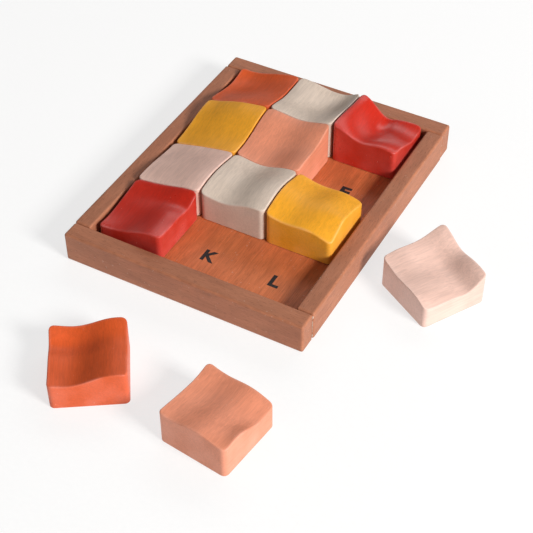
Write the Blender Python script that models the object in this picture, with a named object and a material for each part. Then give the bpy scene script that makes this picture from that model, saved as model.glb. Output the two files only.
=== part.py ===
"""Wave tile puzzle: a wooden tray of twelve lettered cells and twelve square wooden tiles.

Metres, +Z up.  The origin is the middle of the tray's underside; +X runs to the right along the
front rail and +Y runs from the front rail to the back rail.  The tile tops are twelve cut-outs of
one wavy surface, so neighbours match along their edges when every tile is in its own cell.
Nine tiles stand in the tray.  Tiles F, K and L lie on the table, each turned a little.
"""
import math

import bmesh
import bpy

MM = 0.001
GAP = 0.3 * MM                      # between faces that touch on the real object

# Tray
TRAY_WIDTH = 182.4 * MM             # along X, over the front rail
TRAY_LENGTH = 234.8 * MM            # along Y, over the front and back rails
RAIL_HEIGHT = 23.2 * MM
END_RAIL_WIDTH = 13.8 * MM          # front and back rail
SIDE_RAIL_WIDTH = 12.8 * MM
SIDE_RAIL_PROUD = 0.5 * MM          # side rails stand this far outside the end rails' ends
RAIL_ROUND = 1.2 * MM
ROUND_STEPS = 3
FLOOR_HEIGHT = 12.0 * MM            # top of the base board
BOARD_ROUND = 0.5 * MM

# Dowels that join the side rails to the end rails, two at each corner
DOWEL_DIAMETER = 5.0 * MM
DOWEL_LENGTH = 24.0 * MM
DOWEL_IN_END_RAIL = 9.0 * MM
DOWEL_HEIGHTS = {"low": 6.5 * MM, "high": 16.5 * MM}
DOWEL_CHAMFER = 0.6 * MM
DOWEL_SIDES = 16

# Tiles
TILE_SIDE = 49.7 * MM
TILE_CORNER = 3.5 * MM              # radius of the upright edges
TILE_EDGE = 0.5 * MM                # softening of the top and bottom edges
PITCH_X = 50.9 * MM
PITCH_Y = 50.1 * MM
GRID_CENTRE = (-0.1 * MM, 1.4 * MM) # middle of the three by four cells
COLUMNS = 3
LETTERS = "abcdefghijkl"            # cell names, row by row from the back left
SIDE_STEPS = 7                      # mesh steps along a tile's side
CORNER_STEPS = 4
INNER_RINGS = (0.84, 0.64, 0.42, 0.2)   # mesh rings on the tile's top, as shares of its size

# The wavy surface, measured from a tile's underside at its home in the tray.
MEAN_HEIGHT = 18.7 * MM
SWELLS = (                          # crest spacing mm, heading degrees, rise mm, crest offset mm
    (282, 15, 6.0, 13),
    (79, -86, 3.9, 35),
    (69, 87, 1.7, -8),
    (67, -1, 1.5, -33),
    (54, -2, 1.3, 10),
    (43, -5, 1.2, -21),
)
KNOLLS = (                          # centre x, y mm, spread x, y mm, rise mm
    (28, 85, 9, 23, 8.2),
    (47, 97, 8, 45, -3.7),
    (76, -30, 12, 8, 2.0),
    (69, 37, 35, 9, -5.5),
    (-53, 98, 18, 34, -4.3),
    (38, 14, 35, 11, 4.0),
    (77, -82, 8, 13, 4.9),
    (-21, 87, 17, 13, 3.1),
    (-21, -61, 35, 9, -3.7),
)

# Tiles out on the table: centre x, y and turn about Z
ON_TABLE = {
    "f": (141.3 * MM, -26.7 * MM, math.radians(-30.7)),
    "k": (-16.9 * MM, -198.0 * MM, math.radians(33.4)),
    "l": (75.6 * MM, -198.5 * MM, math.radians(-7.0)),
}

RAIL_WOOD = (0.34, 0.145, 0.085)
BOARD_WOOD = (0.50, 0.125, 0.05)
DOWEL_WOOD = (0.62, 0.45, 0.28)
ORANGE = (0.66, 0.115, 0.035)
CREAM = (0.66, 0.57, 0.48)
RED = (0.60, 0.028, 0.018)
YELLOW = (0.80, 0.36, 0.03)
SALMON = (0.76, 0.27, 0.15)
PINK = (0.82, 0.56, 0.46)
TILE_PAINT = dict(zip(LETTERS, (ORANGE, CREAM, RED, YELLOW, SALMON, PINK,
                                PINK, CREAM, YELLOW, RED, ORANGE, SALMON)))


def clear_scene():
    for item in list(bpy.data.objects):
        bpy.data.objects.remove(item, do_unlink=True)


def make_material(name, colour, roughness):
    material = bpy.data.materials.new(name)
    material.use_nodes = True
    shader = material.node_tree.nodes["Principled BSDF"]
    shader.inputs["Base Color"].default_value = (*colour, 1.0)
    shader.inputs["Roughness"].default_value = roughness
    shader.inputs["Metallic"].default_value = 0.0
    material.diffuse_color = (*colour, 1.0)
    return material


def add_object(name, bm, material):
    mesh = bpy.data.meshes.new(name)
    bm.to_mesh(mesh)
    bm.free()
    item = bpy.data.objects.new(name, mesh)
    if material is not None:
        mesh.materials.append(material)
    bpy.context.scene.collection.objects.link(item)
    return item


def add_block(name, low, high, round_size, material):
    """A board with all its edges rounded; low and high are opposite corners."""
    size = [b - a for a, b in zip(low, high)]
    bm = bmesh.new()
    bmesh.ops.create_cube(bm, size=1.0)
    bmesh.ops.scale(bm, vec=size, verts=bm.verts)
    block = add_object(name, bm, material)
    block.location = [(a + b) / 2 for a, b in zip(low, high)]
    rounding = block.modifiers.new("rounded_edges", "BEVEL")
    rounding.width = round_size
    rounding.segments = ROUND_STEPS
    rounding.limit_method = "NONE"
    return block


def add_rod(name, radius, length, centre, chamfer, material):
    """A round rod along Y."""
    bm = bmesh.new()
    bmesh.ops.create_cone(bm, cap_ends=True, segments=DOWEL_SIDES,
                          radius1=radius, radius2=radius, depth=length)
    if chamfer > 0:
        rims = [edge for edge in bm.edges if abs(edge.verts[0].co.z - edge.verts[1].co.z) < GAP]
        bmesh.ops.bevel(bm, geom=rims, offset=chamfer, segments=1, affect="EDGES")
    rod = add_object(name, bm, material)
    rod.rotation_euler = (math.pi / 2, 0.0, 0.0)
    rod.location = centre
    rod.data.shade_smooth()
    rod.data.set_sharp_from_angle(angle=math.radians(40))
    return rod


def drill(board, cutter):
    hole = board.modifiers.new("hole_" + cutter.name, "BOOLEAN")
    hole.operation = "DIFFERENCE"
    hole.solver = "EXACT"
    hole.object = cutter


def build_tray():
    rail_wood = make_material("rail_wood", RAIL_WOOD, 0.55)
    board_wood = make_material("board_wood", BOARD_WOOD, 0.5)
    half_width = TRAY_WIDTH / 2
    half_length = TRAY_LENGTH / 2
    inner_y = half_length - END_RAIL_WIDTH
    side_outer = half_width + SIDE_RAIL_PROUD
    side_inner = side_outer - SIDE_RAIL_WIDTH
    side_y = inner_y - GAP

    rails = {
        "front": add_block("front_rail", (-half_width, -half_length, 0.0),
                           (half_width, -inner_y, RAIL_HEIGHT), RAIL_ROUND, rail_wood),
        "back": add_block("back_rail", (-half_width, inner_y, 0.0),
                          (half_width, half_length, RAIL_HEIGHT), RAIL_ROUND, rail_wood),
        "left": add_block("left_rail", (-side_outer, -side_y, 0.0),
                          (-side_inner, side_y, RAIL_HEIGHT), RAIL_ROUND, rail_wood),
        "right": add_block("right_rail", (side_inner, -side_y, 0.0),
                           (side_outer, side_y, RAIL_HEIGHT), RAIL_ROUND, rail_wood),
    }
    board_x = side_inner - GAP
    add_block("base_board", (-board_x, -side_y, 0.0), (board_x, side_y, FLOOR_HEIGHT),
              BOARD_ROUND, board_wood)
    add_dowels(rails, (side_inner + side_outer) / 2, inner_y)


def add_dowels(rails, dowel_x, inner_y):
    """Two dowels at each corner, each in a blind hole that runs across the joint."""
    dowel_wood = make_material("dowel_wood", DOWEL_WOOD, 0.7)
    middle_y = inner_y + DOWEL_IN_END_RAIL - DOWEL_LENGTH / 2
    for end, y_sign in (("front", -1), ("back", 1)):
        for side, x_sign in (("left", -1), ("right", 1)):
            for level, height in DOWEL_HEIGHTS.items():
                centre = (x_sign * dowel_x, y_sign * middle_y, height)
                name = f"dowel_{end}_{side}_{level}"
                add_rod(name, DOWEL_DIAMETER / 2, DOWEL_LENGTH, centre, DOWEL_CHAMFER, dowel_wood)
                cutter = add_rod("drill_" + name, DOWEL_DIAMETER / 2 + GAP,
                                 DOWEL_LENGTH + 2 * GAP, centre, 0.0, None)
                cutter.hide_render = True
                cutter.display_type = "WIRE"
                drill(rails[end], cutter)
                drill(rails[side], cutter)


def wave_height(x, y):
    """Height of the tile tops above the tiles' undersides at a place in the tray."""
    height = MEAN_HEIGHT
    for spacing, heading, rise, crest in SWELLS:
        angle = math.radians(heading)
        along = x * math.cos(angle) + y * math.sin(angle)
        height += rise * MM * math.cos(2 * math.pi * (along - crest * MM) / (spacing * MM))
    for centre_x, centre_y, spread_x, spread_y, rise in KNOLLS:
        reach = ((x / MM - centre_x) / spread_x) ** 2 + ((y / MM - centre_y) / spread_y) ** 2
        height += rise * MM * math.exp(-reach)
    return height


def home_of(letter):
    """Middle of a tile's own cell."""
    row, column = divmod(LETTERS.index(letter), COLUMNS)
    rows = len(LETTERS) // COLUMNS
    x = GRID_CENTRE[0] + (column - (COLUMNS - 1) / 2) * PITCH_X
    y = GRID_CENTRE[1] + ((rows - 1) / 2 - row) * PITCH_Y
    return x, y


def tile_outline():
    """Points round the tile, anticlockwise, as four corner arcs and four straight sides."""
    straight = TILE_SIDE / 2 - TILE_CORNER
    points = []
    for quarter in range(4):
        start = quarter * math.pi / 2
        corner_x = straight * (1 if quarter in (0, 3) else -1)
        corner_y = straight * (1 if quarter in (0, 1) else -1)
        for step in range(CORNER_STEPS + 1):
            angle = start + step / CORNER_STEPS * math.pi / 2
            points.append((corner_x + TILE_CORNER * math.cos(angle),
                           corner_y + TILE_CORNER * math.sin(angle)))
        last_x, last_y = points[-1]
        for step in range(1, SIDE_STEPS):
            distance = 2 * straight * step / SIDE_STEPS
            points.append((last_x - math.cos(start) * distance, last_y - math.sin(start) * distance))
    return points


def build_tile(letter):
    home_x, home_y = home_of(letter)
    outline = tile_outline()
    edge_share = 1.0 - 2 * TILE_EDGE / TILE_SIDE
    bm = bmesh.new()

    def flat_ring(share, z):
        return [bm.verts.new((x * share, y * share, z)) for x, y in outline]

    def wave_ring(share, below):
        return [bm.verts.new((x * share, y * share,
                              wave_height(home_x + x * share, home_y + y * share) - below))
                for x, y in outline]

    rings = [flat_ring(edge_share, 0.0), flat_ring(1.0, TILE_EDGE),
             wave_ring(1.0, TILE_EDGE), wave_ring(edge_share, 0.0)]
    rings += [wave_ring(share, 0.0) for share in INNER_RINGS]
    count = len(outline)
    bm.faces.new(list(reversed(rings[0])))
    for lower, upper in zip(rings, rings[1:]):
        for i in range(count):
            j = (i + 1) % count
            bm.faces.new((lower[i], lower[j], upper[j], upper[i]))
    summit = bm.verts.new((0.0, 0.0, wave_height(home_x, home_y)))
    for i in range(count):
        bm.faces.new((rings[-1][i], rings[-1][(i + 1) % count], summit))

    paint = make_material("paint_" + letter, TILE_PAINT[letter], 0.5)
    tile = add_object("tile_" + letter, bm, paint)
    tile.data.shade_smooth()
    tile.data.set_sharp_from_angle(angle=math.radians(35))
    if letter in ON_TABLE:
        x, y, turn = ON_TABLE[letter]
        tile.location = (x, y, 0.0)
        tile.rotation_euler = (0.0, 0.0, turn)
    else:
        tile.location = (home_x, home_y, FLOOR_HEIGHT + GAP)


def main():
    clear_scene()
    build_tray()
    for letter in LETTERS:
        build_tile(letter)


main()
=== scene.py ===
import math

import bmesh
import bpy
from mathutils import Matrix, Vector, noise


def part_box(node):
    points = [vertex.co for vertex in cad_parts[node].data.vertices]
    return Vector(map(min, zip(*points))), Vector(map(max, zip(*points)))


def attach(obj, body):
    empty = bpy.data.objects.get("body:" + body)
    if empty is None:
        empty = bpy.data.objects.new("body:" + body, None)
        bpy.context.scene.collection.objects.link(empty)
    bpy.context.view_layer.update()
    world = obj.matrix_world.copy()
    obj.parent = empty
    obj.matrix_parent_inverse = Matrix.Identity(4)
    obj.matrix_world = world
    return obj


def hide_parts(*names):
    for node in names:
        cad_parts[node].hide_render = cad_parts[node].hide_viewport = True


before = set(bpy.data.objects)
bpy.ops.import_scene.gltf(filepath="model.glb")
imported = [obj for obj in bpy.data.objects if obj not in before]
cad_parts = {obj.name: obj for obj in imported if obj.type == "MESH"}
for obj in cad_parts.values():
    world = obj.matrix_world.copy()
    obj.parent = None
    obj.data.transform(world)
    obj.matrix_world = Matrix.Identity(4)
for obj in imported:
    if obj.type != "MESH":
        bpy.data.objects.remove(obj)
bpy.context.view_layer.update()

MM = 0.001
LETTERS = "abcdefghijkl"
COLUMNS = 3

# Camera: the turn round the object, the height above the horizon and the distance from its target
CAMERA_AZIMUTH = math.radians(28.83)
CAMERA_ELEVATION = math.radians(44.17)
CAMERA_ROLL = math.radians(-0.14)
CAMERA_DISTANCE = 900.3 * MM
CAMERA_TARGET = Vector((32.7 * MM, -58.5 * MM, 0.0))
CAMERA_LENS = 89.1                  # mm, on a sensor 36 mm wide
CAMERA_SENSOR = 36.0
CAMERA_CLIP_START = 0.01

# Studio
LIGHT_TARGET = (0.02, -0.04, 0.0)
SOFTBOXES = (                       # name, place, width, height, power in watts, colour
    ("key", (2.13, -0.55, 1.28), 0.66, 0.66, 73.0, (1.0, 0.985, 0.96)),
    ("back_window", (-0.15, 1.35, 1.22), 2.3, 0.6, 10.5, (0.98, 0.97, 0.97)),
    ("front_fill", (-0.6, -1.7, 0.9), 1.6, 0.9, 4.0, (1.0, 0.97, 0.94)),
)
SKY_COLOUR = (1.0, 0.99, 0.98, 1.0)
SKY_STRENGTH = 0.13
FLOOR_HALF = 30.0
FLOOR_CELLS = 8
FLOOR_DROP = 0.1 * MM               # below the object's underside
FLOOR_GLOW = 0.70                   # keeps the paper nearly white where shadows fall

# Tiles
TILE_CORNER = 3.5 * MM              # radius of the upright edges
TILE_EDGE = 0.8 * MM                # radius of the top edges
TILE_FOOT = 0.3 * MM                # radius of the bottom edges
EDGE_ARC = (0, 18, 36, 54, 72, 90)  # degrees round a softened edge
SUPPORT = 0.5 * MM                  # rings that keep the flat sides flat
FINE_LINES = (1.3 * MM, 2.0 * MM, 3.0 * MM, 4.4 * MM)   # mesh lines, in from a tile's side
COARSE_STEP = 1.7 * MM
HAND_SANDING = 0.05 * MM            # unevenness of the tile tops
SANDING_RIPPLES = 160.0             # per metre
THIN_PAINT = 2.2 * TILE_EDGE        # how far in from an edge the paint is thin
TURN = {"f": math.radians(-30.7), "k": math.radians(33.4), "l": math.radians(-7.0)}

# The wavy surface, as in the CAD model: heights above a tile's underside at its home
MEAN_HEIGHT = 18.7 * MM
SWELLS = (                          # crest spacing mm, heading degrees, rise mm, crest offset mm
    (282, 15, 6.0, 13),
    (79, -86, 3.9, 35),
    (69, 87, 1.7, -8),
    (67, -1, 1.5, -33),
    (54, -2, 1.3, 10),
    (43, -5, 1.2, -21),
)
KNOLLS = (                          # centre x, y mm, spread x, y mm, rise mm
    (28, 85, 9, 23, 8.2),
    (47, 97, 8, 45, -3.7),
    (76, -30, 12, 8, 2.0),
    (69, 37, 35, 9, -5.5),
    (-53, 98, 18, 34, -4.3),
    (38, 14, 35, 11, 4.0),
    (77, -82, 8, 13, 4.9),
    (-21, 87, 17, 13, 3.1),
    (-21, -61, 35, 9, -3.7),
)

# Tray
BOARD_ROUND = 1.6 * MM
BASE_ROUND = 0.5 * MM
ROUND_STEPS = 5
SLICE = 3.0 * MM                    # mesh slices along a rail
RAIL_WEAR = 0.05 * MM               # how far the rails' edges are worn in places
WEAR_PATCHES = 26.0                 # per metre, along a worn edge
WEAR_DETAIL = 3.1                   # how much finer the smaller patches are
WEAR_DETAIL_SHARE = 0.3
WEAR_LEVEL = 0.2                    # more wears a larger part of the edges
WEAR_SEED_STEP = 7.3                # between one rail and the next
RUBBED_REACH = 1.05                 # of the edge's radius, for the rubbed colour
DRILL_CLEARANCE = 0.3 * MM
DRILL_SIDES = 24
SHARP_ANGLE = math.radians(50)

# Printed cell letters
LETTER_HEIGHT = 10.8 * MM
LETTER_BOLDNESS = 0.04
B_BOLDNESS = 0.01                   # more would fold the B's narrow waist over itself
LETTER_WIDENING = {"e": 1.2, "f": 1.22, "l": 1.1}   # against the font's own widths
LETTER_CURVE_STEPS = 4
INK_THICKNESS = 0.06 * MM
INK_LIFT = 0.01 * MM
LETTER_PITCH = (50.9 * MM, 51.5 * MM)
LETTER_CENTRE = (-0.5 * MM, -1.9 * MM)    # middle of the three by four letters
WELD = 0.001 * MM

# Dried glue in the grooves at the tray's outer corners
BEAD_STEPS = 46
BEAD_SIDES = 8
BEAD_FOOT = 2.0 * MM                # height of the bead's lower end
BEAD_TOP_GAP = 1.6 * MM             # from its upper end to the rail's top
BEAD_INSET = 0.8 * MM               # in from the side rail's outer face
BEAD_OFFSET = 0.3 * MM              # out past the side rail's end
BEAD_RADIUS = 0.20 * MM
BEAD_LUMPS = 0.75 * MM              # how much the radius swells and shrinks
BEAD_LEAST = 0.06 * MM
BEAD_WANDER = 0.12 * MM
BEAD_RIPPLES = 420.0                # per metre of height

# Colours, linear
PAINTS = {
    "orange": (0.72, 0.104, 0.020),
    "cream": (0.70, 0.575, 0.48),
    "red": (0.59, 0.022, 0.008),
    "yellow": (0.92, 0.40, 0.019),
    "salmon": (0.785, 0.285, 0.165),
    "pink": (0.83, 0.555, 0.468),
}
TILE_PAINTS = dict(zip(LETTERS, ("orange", "cream", "red", "yellow", "salmon", "pink",
                                 "pink", "cream", "yellow", "red", "orange", "salmon")))
PAINT_FINISH = (0.50, 0.30)         # roughness, specular level
RED_FINISH = (0.31, 0.46)
PAINT_SPECK = (0.80, 0.74, 0.68)
RAIL_WOOD = (0.40, 0.151, 0.078)
BOARD_WOOD = (0.58, 0.155, 0.053)
RUBBED_WOOD = (0.60, 0.225, 0.115)
DOWEL_WOOD = (0.62, 0.45, 0.28)
WOOD_NICK = (0.62, 0.50, 0.42)
INK = (0.019, 0.016, 0.017)
GLUE_DARK = (0.30, 0.17, 0.11)
GLUE_PALE = (0.56, 0.44, 0.36)


# ---------------------------------------------------------------- camera, light and floor

def add_camera():
    side, rise = math.sin(CAMERA_AZIMUTH), math.sin(CAMERA_ELEVATION)
    level = math.cos(CAMERA_ELEVATION)
    back = Vector((side * level, -math.cos(CAMERA_AZIMUTH) * level, rise))
    right = Vector((math.cos(CAMERA_AZIMUTH), side, 0.0))
    up = back.cross(right)
    rolled_right = right * math.cos(CAMERA_ROLL) + up * math.sin(CAMERA_ROLL)
    rolled_up = up * math.cos(CAMERA_ROLL) - right * math.sin(CAMERA_ROLL)
    data = bpy.data.cameras.new("camera")
    data.lens = CAMERA_LENS
    data.sensor_width = CAMERA_SENSOR
    data.clip_start = CAMERA_CLIP_START
    camera = bpy.data.objects.new("camera", data)
    turn = Matrix((rolled_right, rolled_up, back)).transposed().to_4x4()
    camera.matrix_world = Matrix.Translation(CAMERA_TARGET + back * CAMERA_DISTANCE) @ turn
    bpy.context.scene.collection.objects.link(camera)
    bpy.context.scene.camera = camera


def add_softbox(name, place, width, height, power, colour):
    data = bpy.data.lights.new(name, "AREA")
    data.shape = "RECTANGLE"
    data.size = width
    data.size_y = height
    data.energy = power
    data.color = colour
    light = bpy.data.objects.new(name, data)
    light.location = place
    outwards = Vector(place) - Vector(LIGHT_TARGET)
    light.rotation_euler = outwards.to_track_quat("Z", "Y").to_euler()
    bpy.context.scene.collection.objects.link(light)


def add_floor():
    """A pale paper floor that glows a little, so that its shadows stay faint."""
    bm = bmesh.new()
    bmesh.ops.create_grid(bm, x_segments=FLOOR_CELLS, y_segments=FLOOR_CELLS, size=FLOOR_HALF)
    floor = new_object("studio_floor", bm)
    floor.location.z = -FLOOR_DROP
    material, tree, shader = new_material("floor_paper")
    grain = noise_node(tree, object_coordinates(tree, (1, 1, 1)), scale=400.0, detail=3.0)
    tone = ramp(tree, grain, ((0.3, (0.28, 0.28, 0.28)), (0.7, (0.31, 0.31, 0.31))))
    tree.links.new(tone, shader.inputs["Base Color"])
    shader.inputs["Roughness"].default_value = 0.9
    shader.inputs["Emission Color"].default_value = (1.0, 1.0, 1.0, 1.0)
    shader.inputs["Emission Strength"].default_value = FLOOR_GLOW
    floor.data.materials.append(material)


def add_studio():
    world = bpy.data.worlds.new("studio")
    world.use_nodes = True
    sky = world.node_tree.nodes["Background"]
    sky.inputs["Color"].default_value = SKY_COLOUR
    sky.inputs["Strength"].default_value = SKY_STRENGTH
    bpy.context.scene.world = world
    bpy.context.scene.view_settings.view_transform = "Standard"
    for softbox in SOFTBOXES:
        add_softbox(*softbox)
    add_floor()


# ---------------------------------------------------------------- helpers for objects and nodes

def new_object(name, bm):
    mesh = bpy.data.meshes.new(name)
    bm.to_mesh(mesh)
    bm.free()
    item = bpy.data.objects.new(name, mesh)
    bpy.context.scene.collection.objects.link(item)
    return item


def mark_edges(item, distances, reach):
    """Stores how near each vertex is to an edge, from 0 on the flats to 1."""
    mesh = item.data
    values = [max(0.0, 1.0 - max(0.0, distances(v.co)[1]) / reach) for v in mesh.vertices]
    mesh.attributes.new("edge", "FLOAT", "POINT").data.foreach_set("value", values)


def new_material(name):
    material = bpy.data.materials.new(name)
    material.use_nodes = True
    tree = material.node_tree
    return material, tree, tree.nodes["Principled BSDF"]


def feed(tree, value, socket):
    """Gives a socket its value: a link from another socket, a colour or a number."""
    if isinstance(value, bpy.types.NodeSocket):
        tree.links.new(value, socket)
    elif isinstance(value, tuple):
        socket.default_value = (*value, 1.0)
    else:
        socket.default_value = value


def object_coordinates(tree, stretch):
    """The object's own coordinates, scaled along each axis."""
    coordinates = tree.nodes.new("ShaderNodeTexCoord")
    mapping = tree.nodes.new("ShaderNodeMapping")
    mapping.inputs["Scale"].default_value = stretch
    tree.links.new(coordinates.outputs["Object"], mapping.inputs["Vector"])
    return mapping.outputs["Vector"]


def noise_node(tree, vector, scale, detail, distortion=0.0):
    node = tree.nodes.new("ShaderNodeTexNoise")
    node.inputs["Scale"].default_value = scale
    node.inputs["Detail"].default_value = detail
    node.inputs["Distortion"].default_value = distortion
    tree.links.new(vector, node.inputs["Vector"])
    return node.outputs["Fac"]


def ramp(tree, factor, stops):
    """A colour ramp; stops are (position, colour), or (position, grey)."""
    node = tree.nodes.new("ShaderNodeValToRGB")
    elements = node.color_ramp.elements
    for element, (position, value) in zip(elements, stops, strict=True):
        colour = value if isinstance(value, tuple) else (value,) * 3
        element.position = position
        element.color = (*colour, 1.0)
    tree.links.new(factor, node.inputs["Fac"])
    return node.outputs["Color"]


def mix(tree, factor, first, second, blend="MIX"):
    """Mixes two colours; each input is a socket, a colour or a number."""
    node = tree.nodes.new("ShaderNodeMix")
    node.data_type = "RGBA"
    node.blend_type = blend
    feed(tree, factor, node.inputs[0])
    feed(tree, first, node.inputs[6])
    feed(tree, second, node.inputs[7])
    return node.outputs[2]


def multiply(tree, first, second):
    node = tree.nodes.new("ShaderNodeMath")
    node.operation = "MULTIPLY"
    feed(tree, first, node.inputs[0])
    feed(tree, second, node.inputs[1])
    return node.outputs[0]


def attribute(tree, name):
    node = tree.nodes.new("ShaderNodeAttribute")
    node.attribute_name = name
    return node.outputs["Fac"]


def bump(tree, shader, height, distance, strength):
    node = tree.nodes.new("ShaderNodeBump")
    node.inputs["Distance"].default_value = distance
    node.inputs["Strength"].default_value = strength
    tree.links.new(height, node.inputs["Height"])
    tree.links.new(node.outputs["Normal"], shader.inputs["Normal"])


def shade(colour, factor):
    return tuple(min(1.0, part * factor) for part in colour)


def lighten(colour, target, share):
    return tuple(part + (target - part) * share for part in colour)


def along(axis, lengthwise, across):
    """A stretch for grain that runs along an axis (0, 1 or 2)."""
    return tuple(lengthwise if i == axis else across for i in range(3))


# ---------------------------------------------------------------- materials

def stained_wood(name, colour, axis, contrast, pore_contrast, seed):
    """Stained hardwood: fibres, growth bands, short dark pores, rubbed edges and pale nicks."""
    material, tree, shader = new_material(name)
    fine = object_coordinates(tree, along(axis, 0.03, 1.0))
    medium = object_coordinates(tree, along(axis, 0.13, 1.0))
    broad = object_coordinates(tree, along(axis, 0.22, 1.0))
    plain = object_coordinates(tree, (1.0 + seed * 0.01,) * 3)

    fibres = noise_node(tree, fine, scale=1900.0, detail=5.0)
    pores = noise_node(tree, medium, scale=1900.0, detail=2.0, distortion=0.2)
    bands = noise_node(tree, broad, scale=210.0 + seed, detail=3.0, distortion=0.6)
    blotches = noise_node(tree, plain, scale=28.0, detail=2.0)
    wear = noise_node(tree, plain, scale=160.0, detail=3.0)
    dents = noise_node(tree, plain, scale=520.0, detail=3.0)
    edge = attribute(tree, "edge")

    darker, paler = shade(colour, 1 - contrast), shade(colour, 1 + contrast)
    tone = ramp(tree, bands, ((0.30, darker), (0.70, paler)))
    tone = mix(tree, 0.5, tone, ramp(tree, blotches, ((0.35, 0.42), (0.65, 0.58))), "SOFT_LIGHT")
    fibre_tone = ramp(tree, fibres, ((0.30, 1 - 1.1 * contrast), (0.68, 1 + 0.3 * contrast)))
    tone = mix(tree, 1.0, tone, fibre_tone, "MULTIPLY")
    pore_mask = ramp(tree, pores, ((0.60, 0.0), (0.67, 1.0)))
    tone = mix(tree, multiply(tree, pore_mask, pore_contrast), tone, shade(colour, 0.35))

    rubbed = multiply(tree, edge, ramp(tree, wear, ((0.38, 0.05), (0.66, 0.75))))
    tone = mix(tree, rubbed, tone, RUBBED_WOOD)
    nicks = ramp(tree, dents, ((0.68, 0.0), (0.73, 1.0)))
    near_edge = ramp(tree, edge, ((0.0, 0.4), (0.4, 1.0)))
    nick_mask = multiply(tree, multiply(tree, nicks, near_edge), 0.75)
    tone = mix(tree, nick_mask, tone, WOOD_NICK)
    tree.links.new(tone, shader.inputs["Base Color"])

    tree.links.new(ramp(tree, fibres, ((0.3, 0.66), (0.7, 0.50))), shader.inputs["Roughness"])
    height = mix(tree, 0.45, fibres, ramp(tree, pores, ((0.55, 1.0), (0.68, 0.0))))
    bump(tree, shader, height, distance=0.09 * MM, strength=0.5)
    shader.inputs["Specular IOR Level"].default_value = 0.42
    return material


def satin_paint(name, colour, roughness, specular, seed):
    """Thin satin paint on wood whose grain runs along the tile's own Y."""
    material, tree, shader = new_material(name)
    offset = 1.0 + seed * 0.013
    fine = object_coordinates(tree, along(1, 0.05 * offset, offset))
    medium = object_coordinates(tree, along(1, 0.12 * offset, offset))
    plain = object_coordinates(tree, (offset,) * 3)

    fibres = noise_node(tree, fine, scale=1500.0, detail=5.0)
    ridges = noise_node(tree, fine, scale=620.0, detail=3.0, distortion=0.3)
    pores = noise_node(tree, medium, scale=1150.0, detail=2.0, distortion=0.2)
    mottle = noise_node(tree, plain, scale=60.0, detail=3.0)
    peel = noise_node(tree, plain, scale=2600.0, detail=2.0)
    dust = noise_node(tree, plain, scale=700.0, detail=2.0)

    tone = ramp(tree, mottle, ((0.35, shade(colour, 0.95)), (0.65, shade(colour, 1.03))))
    tone = mix(tree, 1.0, tone, ramp(tree, fibres, ((0.32, 0.90), (0.6, 1.0))), "MULTIPLY")
    tone = mix(tree, 1.0, tone, ramp(tree, ridges, ((0.36, 0.90), (0.62, 1.0))), "MULTIPLY")
    pore_mask = ramp(tree, pores, ((0.64, 0.0), (0.70, 0.32)))
    tone = mix(tree, pore_mask, tone, shade(colour, 0.6))
    thin = multiply(tree, attribute(tree, "edge"), ramp(tree, mottle, ((0.35, 0.1), (0.7, 0.55))))
    tone = mix(tree, thin, tone, lighten(colour, 0.9, 0.22))
    specks = ramp(tree, dust, ((0.755, 0.0), (0.78, 0.6)))
    tone = mix(tree, specks, tone, PAINT_SPECK)
    tree.links.new(tone, shader.inputs["Base Color"])

    tree.links.new(ramp(tree, mottle, ((0.3, roughness + 0.05), (0.7, roughness - 0.04))),
                   shader.inputs["Roughness"])
    height = mix(tree, 0.35, mix(tree, 0.5, fibres, ridges), peel)
    height = mix(tree, 0.25, height, ramp(tree, pores, ((0.6, 1.0), (0.72, 0.0))))
    bump(tree, shader, height, distance=0.07 * MM, strength=0.42)
    shader.inputs["Specular IOR Level"].default_value = specular
    shader.inputs["Coat Weight"].default_value = 0.06
    shader.inputs["Coat Roughness"].default_value = 0.3
    return material


def printed_ink():
    """Black ink that is a little thin where the wood's fibres stand up."""
    material, tree, shader = new_material("cell_ink")
    fine = object_coordinates(tree, along(1, 0.06, 1.0))
    fibres = noise_node(tree, fine, scale=1700.0, detail=4.0)
    tone = ramp(tree, fibres, ((0.30, shade(INK, 2.2)), (0.46, INK)))
    tree.links.new(tone, shader.inputs["Base Color"])
    tree.links.new(ramp(tree, fibres, ((0.3, 0.75), (0.7, 0.5))), shader.inputs["Roughness"])
    shader.inputs["Specular IOR Level"].default_value = 0.3
    bump(tree, shader, fibres, distance=0.04 * MM, strength=0.4)
    return material


def dried_glue():
    material, tree, shader = new_material("dried_glue")
    lumps = noise_node(tree, object_coordinates(tree, (1, 1, 1)), scale=1500.0, detail=3.0)
    tone = ramp(tree, lumps, ((0.3, GLUE_DARK), (0.62, GLUE_PALE)))
    tree.links.new(tone, shader.inputs["Base Color"])
    tree.links.new(ramp(tree, lumps, ((0.3, 0.6), (0.7, 0.35))), shader.inputs["Roughness"])
    bump(tree, shader, lumps, distance=0.1 * MM, strength=0.5)
    return material


# ---------------------------------------------------------------- tiles

def centre_of(letter):
    low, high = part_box("tile_" + letter)
    return (low + high) / 2


def home_of(letter):
    """Middle of a tile's own cell; a loose tile's is read off the tiles in its row and column."""
    row_mates = {"f": "e", "k": "j", "l": "j"}
    column_mates = {"f": "c", "k": "h", "l": "i"}
    x = centre_of(column_mates.get(letter, letter)).x
    y = centre_of(row_mates.get(letter, letter)).y
    return x, y


def wave_height(x, y):
    height = MEAN_HEIGHT
    for spacing, heading, rise, crest in SWELLS:
        angle = math.radians(heading)
        along_heading = x * math.cos(angle) + y * math.sin(angle)
        height += rise * MM * math.cos(2 * math.pi * (along_heading - crest * MM) / (spacing * MM))
    for centre_x, centre_y, spread_x, spread_y, rise in KNOLLS:
        reach = ((x / MM - centre_x) / spread_x) ** 2 + ((y / MM - centre_y) / spread_y) ** 2
        height += rise * MM * math.exp(-reach)
    return height


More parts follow.
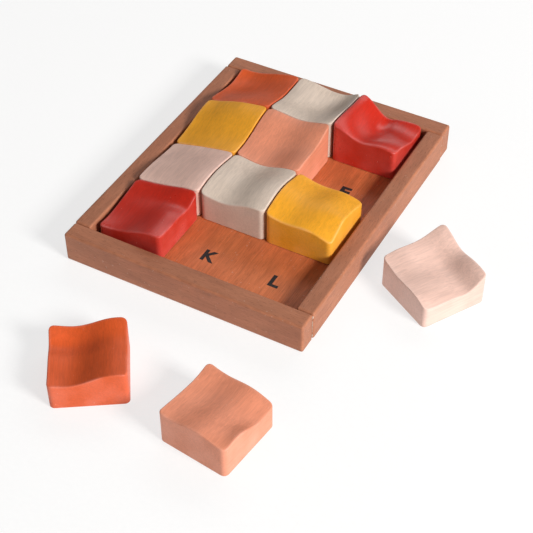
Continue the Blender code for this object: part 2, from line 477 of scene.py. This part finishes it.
def mesh_lines(half):
    """Places of the mesh lines across a tile, close together near its sides."""
    arc = [TILE_EDGE * (1 - math.sin(math.radians(angle))) for angle in EDGE_ARC]
    insets = sorted(arc + list(FINE_LINES))
    inner = half - FINE_LINES[-1]
    count = round(2 * inner / COARSE_STEP)
    middle = [-inner + 2 * inner * i / count for i in range(1, count)]
    left = [-half + inset for inset in insets]
    right = [half - inset for inset in reversed(insets)]
    return left + middle + right


def round_corner(along_side, half):
    """How far a point on a square's side moves in and along where the corner is rounded."""
    straight = half - TILE_CORNER
    beyond = abs(along_side) - straight
    if beyond <= 0:
        return half, along_side
    angle = beyond / TILE_CORNER * math.pi / 4
    return (straight + TILE_CORNER * math.cos(angle),
            math.copysign(straight + TILE_CORNER * math.sin(angle), along_side))


def rounded_place(u, v, half):
    """Moves a point of a square grid to its place in the square with rounded corners."""
    reach = max(abs(u), abs(v))
    if reach == 0:
        return 0.0, 0.0
    share = reach / half
    if abs(u) >= abs(v):
        x, y = round_corner(v / share, half)
        x = math.copysign(x, u)
    else:
        y, x = round_corner(u / share, half)
        y = math.copysign(y, v)
    return x * share, y * share


def edge_drop(inset):
    """How far a softened edge lies below the surface, at a distance in from the side."""
    if inset >= TILE_EDGE:
        return 0.0
    return TILE_EDGE - math.sqrt(max(0.0, TILE_EDGE ** 2 - (TILE_EDGE - inset) ** 2))


def join_rings(bm, upper, lower):
    """Faces between two rings of as many vertices, both anticlockwise seen from above."""
    count = len(upper)
    for i in range(count):
        k = (i + 1) % count
        bm.faces.new((lower[i], lower[k], upper[k], upper[i]))


def level_ring(bm, ring, share, height):
    """A level copy of a ring, drawn in to a share of its size."""
    return [bm.verts.new((v.co.x * share, v.co.y * share, height)) for v in ring]


def add_tile_top(bm, half, home, seed):
    """The wavy top as a grid; returns its rim, anticlockwise from above."""
    lines = mesh_lines(half)
    grid = []
    for v in lines:
        row = []
        for u in lines:
            x, y = rounded_place(u, v, half)
            drop = edge_drop(half - max(abs(u), abs(v)))
            ripple = noise.noise(Vector((x, y, seed * MM)) * SANDING_RIPPLES) * HAND_SANDING
            height = wave_height(home[0] + x, home[1] + y)
            row.append(bm.verts.new((x, y, height + ripple - drop)))
        grid.append(row)
    last = len(lines) - 1
    for j in range(last):
        for i in range(last):
            bm.faces.new((grid[j][i], grid[j][i + 1], grid[j + 1][i + 1], grid[j + 1][i]))
    front, back = grid[0][:-1], grid[-1][:0:-1]
    right = [row[-1] for row in grid[:-1]]
    left = [row[0] for row in grid[:0:-1]]
    return front + right + back + left


def add_tile_sides(bm, rim, half):
    """Upright sides, a softened foot and the flat underside below the rim of the top."""
    rings = [rim,
             [bm.verts.new((v.co.x, v.co.y, v.co.z - SUPPORT)) for v in rim],
             level_ring(bm, rim, 1.0, TILE_FOOT + SUPPORT)]
    for angle in EDGE_ARC:
        inset = TILE_FOOT * (1 - math.cos(math.radians(angle)))
        height = TILE_FOOT * (1 - math.sin(math.radians(angle)))
        rings.append(level_ring(bm, rim, 1 - inset / half, height))
    rings.append(level_ring(bm, rim, 1 - (TILE_FOOT + SUPPORT) / half, 0.0))
    for upper, lower in zip(rings, rings[1:]):
        join_rings(bm, upper, lower)
    bm.faces.new(list(reversed(rings[-1])))


def add_tile(letter, half, seed):
    node = "tile_" + letter
    paint_name = TILE_PAINTS[letter]
    low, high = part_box(node)
    middle = (low + high) / 2
    home_x, home_y = home_of(letter)
    bm = bmesh.new()
    rim = add_tile_top(bm, half, (home_x, home_y), seed)
    add_tile_sides(bm, rim, half)

    def distances(co):
        return sorted((half - abs(co.x), half - abs(co.y), abs(co.z),
                       wave_height(home_x + co.x, home_y + co.y) - co.z))

    tile = new_object("painted_" + node, bm)
    mark_edges(tile, distances, THIN_PAINT)
    tile.data.shade_smooth()
    tile.location = (middle.x, middle.y, low.z)
    tile.rotation_euler = (0.0, 0.0, TURN.get(letter, 0.0))
    roughness, specular = RED_FINISH if paint_name == "red" else PAINT_FINISH
    paint = satin_paint("paint_" + node, PAINTS[paint_name], roughness, specular, seed)
    tile.data.materials.append(paint)
    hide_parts(node)
    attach(tile, node)


# ---------------------------------------------------------------- tray

def edge_distances(size, co):
    """How far in a point of a board lies from the nearest face along each axis, the least first."""
    return sorted(size[i] / 2 - abs(co[i]) for i in range(3))


def board_shape(size, radius, axis):
    """A board with rounded edges, sliced close to them and at even steps along its grain."""
    bm = bmesh.new()
    bmesh.ops.create_cube(bm, size=1.0)
    bmesh.ops.scale(bm, vec=size, verts=bm.verts)
    bmesh.ops.bevel(bm, geom=list(bm.edges), offset=radius, segments=ROUND_STEPS, profile=0.5,
                    affect="EDGES")
    cuts = [(i, sign * (size[i] / 2 - radius - SUPPORT)) for i in range(3) for sign in (-1, 1)]
    slices = int(size[axis] / SLICE)
    cuts += [(axis, -size[axis] / 2 + size[axis] * k / slices) for k in range(1, slices)]
    for i, place in cuts:
        normal = Vector([float(i == n) for n in range(3)])
        bmesh.ops.bisect_plane(bm, geom=list(bm.verts) + list(bm.edges) + list(bm.faces),
                               plane_co=normal * place, plane_no=normal)
    return bm


def wear_edges(bm, middle, size, radius, seed):
    """Rubs a board's rounded edges down a little, in patches."""
    for vertex in bm.verts:
        nearness = max(0.0, 1.0 - max(0.0, edge_distances(size, vertex.co)[1]) / radius)
        place = (vertex.co + middle) * WEAR_PATCHES + Vector((seed, seed, seed))
        detail = WEAR_DETAIL_SHARE * noise.noise(place * WEAR_DETAIL)
        rubbed = max(0.0, noise.noise(place) + detail + WEAR_LEVEL)
        inward = Vector([-math.copysign(1.0, c) if size[i] / 2 - abs(c) < radius else 0.0
                         for i, c in enumerate(vertex.co)])
        if inward.length > 0 and nearness > 0:
            vertex.co += inward.normalized() * RAIL_WEAR * rubbed * nearness


def add_board(name, node, radius, axis, wear_seed=None):
    """A board in its CAD node's place; its edges are worn where it is given a seed for that."""
    low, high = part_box(node)
    middle, size = (low + high) / 2, high - low
    bm = board_shape(size, radius, axis)
    if wear_seed is not None:
        wear_edges(bm, middle, size, radius, wear_seed)
    board = new_object(name, bm)
    mark_edges(board, lambda co: edge_distances(size, co), RUBBED_REACH * radius)
    board.location = middle
    board.data.shade_smooth()
    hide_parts(node)
    return board


def subtract(board, cutter):
    """Cuts one object out of another and removes the cutter."""
    bpy.context.view_layer.update()
    hole = board.modifiers.new("hole", "BOOLEAN")
    hole.operation = "DIFFERENCE"
    hole.solver = "EXACT"
    hole.object = cutter
    graph = bpy.context.evaluated_depsgraph_get()
    cut = bpy.data.meshes.new_from_object(board.evaluated_get(graph))
    board.modifiers.clear()
    whole = board.data
    board.data = cut
    bpy.data.meshes.remove(whole)
    bpy.data.objects.remove(cutter)


def drill_for_dowels(board, ends):
    """Cuts the blind holes for the dowels that reach into this board."""
    for end in ends:
        for level in ("low", "high"):
            low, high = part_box(f"dowel_{end}_{level}")
            size = high - low
            radius = size.x / 2 + DRILL_CLEARANCE
            bm = bmesh.new()
            bmesh.ops.create_cone(bm, cap_ends=True, segments=DRILL_SIDES, radius1=radius,
                                  radius2=radius, depth=size.y + 2 * DRILL_CLEARANCE)
            bmesh.ops.rotate(bm, matrix=Matrix.Rotation(math.pi / 2, 3, "X"), verts=bm.verts)
            drill = new_object("drill", bm)
            drill.location = (low + high) / 2
            subtract(board, drill)
    board.data.set_sharp_from_angle(angle=SHARP_ANGLE)


def add_rails():
    rails = (                       # node, axis of its grain, the corners with its dowels
        ("front_rail", 0, ("front_left", "front_right")),
        ("back_rail", 0, ("back_left", "back_right")),
        ("left_rail", 1, ("front_left", "back_left")),
        ("right_rail", 1, ("front_right", "back_right")),
    )
    for seed, (node, axis, ends) in enumerate(rails):
        rail = add_board("oiled_" + node, node, BOARD_ROUND, axis, wear_seed=seed * WEAR_SEED_STEP)
        drill_for_dowels(rail, ends)
        wood = stained_wood("wood_" + node, RAIL_WOOD, axis, contrast=0.10, pore_contrast=0.5,
                            seed=seed)
        rail.data.materials.append(wood)
        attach(rail, "tray")


def add_base_board():
    board = add_board("stained_base_board", "base_board", BASE_ROUND, axis=1)
    wood = stained_wood("wood_base_board", BOARD_WOOD, axis=1, contrast=0.15, pore_contrast=0.3,
                        seed=5)
    board.data.materials.append(wood)
    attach(board, "tray")


def colour_dowels():
    """Pale wood for the hidden dowels, which keep their CAD meshes."""
    wood = stained_wood("wood_dowels", DOWEL_WOOD, axis=1, contrast=0.1, pore_contrast=0.3, seed=9)
    for name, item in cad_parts.items():
        if name.startswith("dowel_"):
            item.data.materials.clear()
            item.data.materials.append(wood)


def letter_shape(letter):
    """A capital letter as a thin closed slab, centred on its height, in Blender's own font."""
    text = bpy.data.curves.new("letter", "FONT")
    text.body = letter.upper()
    text.align_x = "CENTER"
    text.size = 1.0
    text.offset = B_BOLDNESS if letter == "b" else LETTER_BOLDNESS
    text.resolution_u = LETTER_CURVE_STEPS
    text.extrude = 0.5
    source = bpy.data.objects.new("letter", text)
    bpy.context.scene.collection.objects.link(source)
    bpy.context.view_layer.update()
    graph = bpy.context.evaluated_depsgraph_get()
    mesh = bpy.data.meshes.new_from_object(source.evaluated_get(graph))
    bpy.data.objects.remove(source)

    bm = bmesh.new()
    bm.from_mesh(mesh)
    bpy.data.meshes.remove(mesh)
    heights = [v.co.y for v in bm.verts]
    middle = (max(heights) + min(heights)) / 2
    scale = LETTER_HEIGHT / (max(heights) - min(heights))
    widening = LETTER_WIDENING.get(letter, 1.0)
    for v in bm.verts:
        v.co = Vector((v.co.x * scale * widening, (v.co.y - middle) * scale,
                       (v.co.z + text.extrude) * INK_THICKNESS))
    bmesh.ops.remove_doubles(bm, verts=bm.verts, dist=WELD)
    return bm


def add_letters():
    """The cell letters, printed on the base board a little in front of each cell's middle."""
    ink = printed_ink()
    floor_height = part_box("base_board")[1].z
    rows = len(LETTERS) // COLUMNS
    for index, letter in enumerate(LETTERS):
        row, column = divmod(index, COLUMNS)
        item = new_object("cell_letter_" + letter, letter_shape(letter))
        item.data.materials.append(ink)
        item.location = (LETTER_CENTRE[0] + (column - (COLUMNS - 1) / 2) * LETTER_PITCH[0],
                         LETTER_CENTRE[1] + ((rows - 1) / 2 - row) * LETTER_PITCH[1],
                         floor_height + INK_LIFT)
        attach(item, "tray")


def glue_bead(centre_x, centre_y, sign_x, sign_y, rail_top):
    """An upright bead whose radius and place wander with its height."""
    bm = bmesh.new()
    rings = []
    for step in range(BEAD_STEPS + 1):
        z = BEAD_FOOT + (rail_top - BEAD_FOOT - BEAD_TOP_GAP) * step / BEAD_STEPS
        # the first two numbers give each corner its own stretch of noise
        place = Vector((sign_x * 3.0, sign_y * 5.0, z * BEAD_RIPPLES))
        radius = max(BEAD_LEAST, BEAD_RADIUS + BEAD_LUMPS * noise.noise(place))
        x = centre_x + BEAD_WANDER * noise.noise(place + Vector((9.0, 0.0, 0.0)))
        ring = []
        for i in range(BEAD_SIDES):
            angle = 2 * math.pi * i / BEAD_SIDES
            ring.append(bm.verts.new((x + radius * math.cos(angle),
                                      centre_y + radius * math.sin(angle), z)))
        rings.append(ring)
    for lower, upper in zip(rings, rings[1:]):
        join_rings(bm, upper, lower)
    bm.faces.new(list(reversed(rings[0])))
    bm.faces.new(rings[-1])
    return bm


def add_glue_beads():
    """Thin, broken beads of squeezed-out glue in the upright grooves at the tray's outer corners."""
    glue = dried_glue()
    rail_low, rail_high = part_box("right_rail")
    for end, sign_y, rail_end in (("front", -1, rail_low.y), ("back", 1, rail_high.y)):
        for side, sign_x in (("left", -1), ("right", 1)):
            shape = glue_bead(sign_x * (rail_high.x - BEAD_INSET), rail_end + sign_y * BEAD_OFFSET,
                              sign_x, sign_y, rail_high.z)
            bead = new_object(f"glue_bead_{end}_{side}", shape)
            bead.data.shade_smooth()
            bead.data.materials.append(glue)
            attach(bead, "tray")


def main():
    add_camera()
    add_studio()
    add_rails()
    add_base_board()
    colour_dowels()
    add_letters()
    add_glue_beads()
    tile_low, tile_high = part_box("tile_a")
    for seed, letter in enumerate(LETTERS):
        add_tile(letter, (tile_high.x - tile_low.x) / 2, seed)


main()
